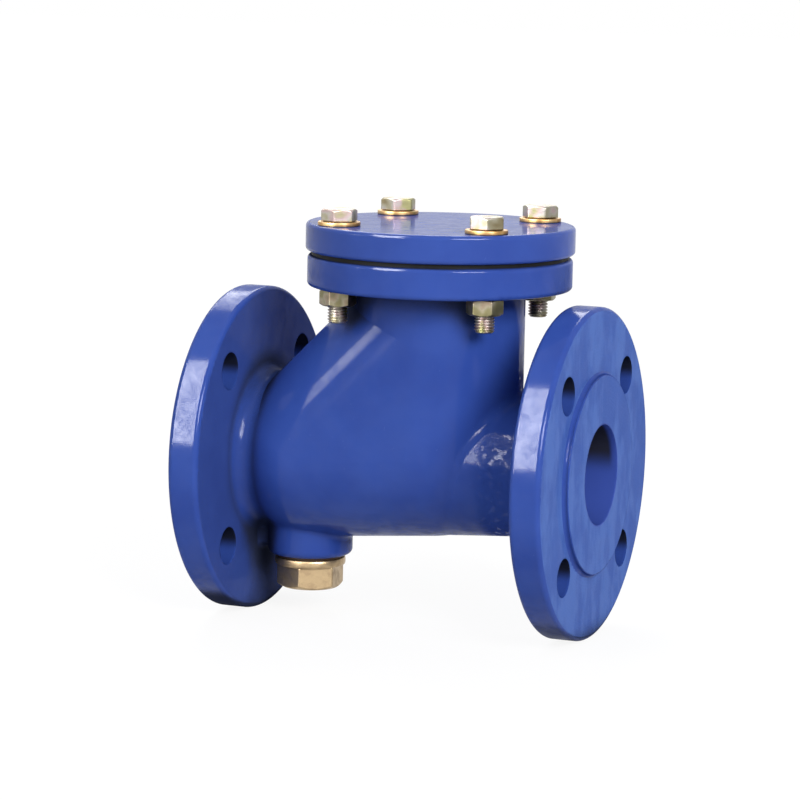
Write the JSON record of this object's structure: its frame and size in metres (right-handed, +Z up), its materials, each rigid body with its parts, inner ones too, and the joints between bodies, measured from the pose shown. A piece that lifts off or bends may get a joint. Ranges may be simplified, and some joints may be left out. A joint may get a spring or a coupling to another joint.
{
  "type": "ball non-return valve",
  "caption": "Flanged ball non-return valve: a rubber ball rolls up a sloping track into a bolted top chamber to let flow pass, and drops back on its seat.",
  "frame": {"origin": "centre of the inlet flange's raised face", "axes": "+X along the flow to the outlet face, +Z up to the cover, -Y towards the side with the view"},
  "size_m": [0.2, 0.165, 0.2104],
  "materials": {
    "body_enamel": "gloss enamel over casting",
    "cover_enamel": "gloss enamel over casting",
    "gasket_rubber": "matt",
    "ball_rubber": "satin",
    "zinc_plate": "yellow passivated zinc",
    "plug_brass": "satin",
    "seal_rubber": "matt fibre"
  },
  "bodies": {
    "housing": {"valve_body": "body_enamel", "cover": "cover_enamel", "cover_gasket": "gasket_rubber", "drain_plug": "plug_brass", "drain_plug_seal": "seal_rubber", "cover_screw_1": "zinc_plate", "cover_screw_2": "zinc_plate", "cover_screw_3": "zinc_plate", "cover_screw_4": "zinc_plate", "cover_washer_1": "zinc_plate", "cover_washer_2": "zinc_plate", "cover_washer_3": "zinc_plate", "cover_washer_4": "zinc_plate", "cover_nut_1": "zinc_plate", "cover_nut_2": "zinc_plate", "cover_nut_3": "zinc_plate", "cover_nut_4": "zinc_plate"},
    "ball": {"ball": "ball_rubber"}
  },
  "joints": [
    {"name": "ball_travel", "type": "slide", "parent": "housing", "child": "ball", "axis": [0.7071, 0, 0.7071], "range_m": [0, 0.09]}
  ]
}
